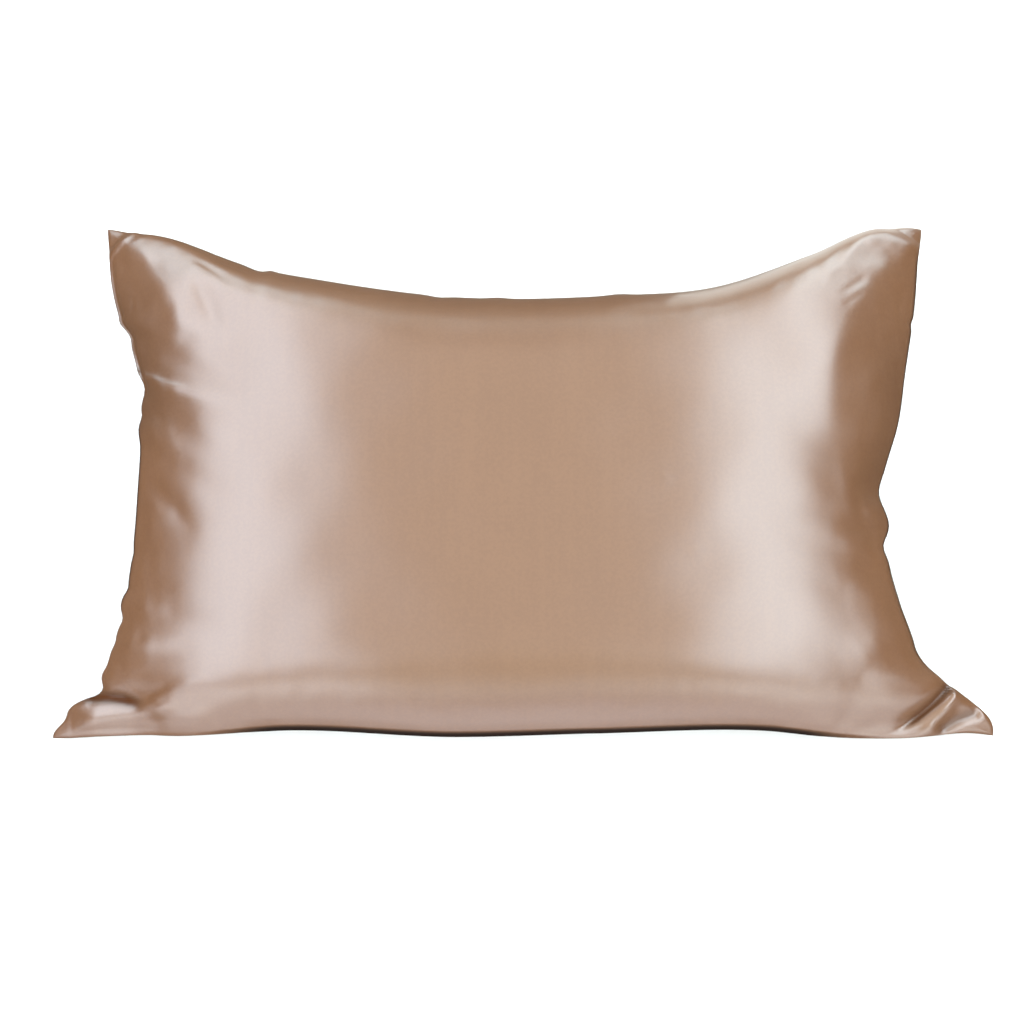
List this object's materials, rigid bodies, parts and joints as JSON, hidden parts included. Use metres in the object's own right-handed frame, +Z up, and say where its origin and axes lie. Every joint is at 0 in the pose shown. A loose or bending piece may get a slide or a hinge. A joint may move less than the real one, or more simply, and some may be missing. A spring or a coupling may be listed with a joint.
{
  "type": "pillowcase",
  "caption": "Satin pillowcase filled by its pillow, lying on its back, with a crowned face, drawn-in sides, flattened upper corners and slack lower corners.",
  "frame": {"origin": "middle of the box around the pillowcase, at the height of the surface that it lies on", "axes": "+X along its long sides, +Y towards its top edge, +Z up out of its face"},
  "size_m": [0.7582, 0.4236, 0.1573],
  "materials": {
    "satin": "satin weave with a soft sheen, champagne"
  },
  "bodies": {
    "root": {"pillowcase": "satin"}
  },
  "joints": []
}
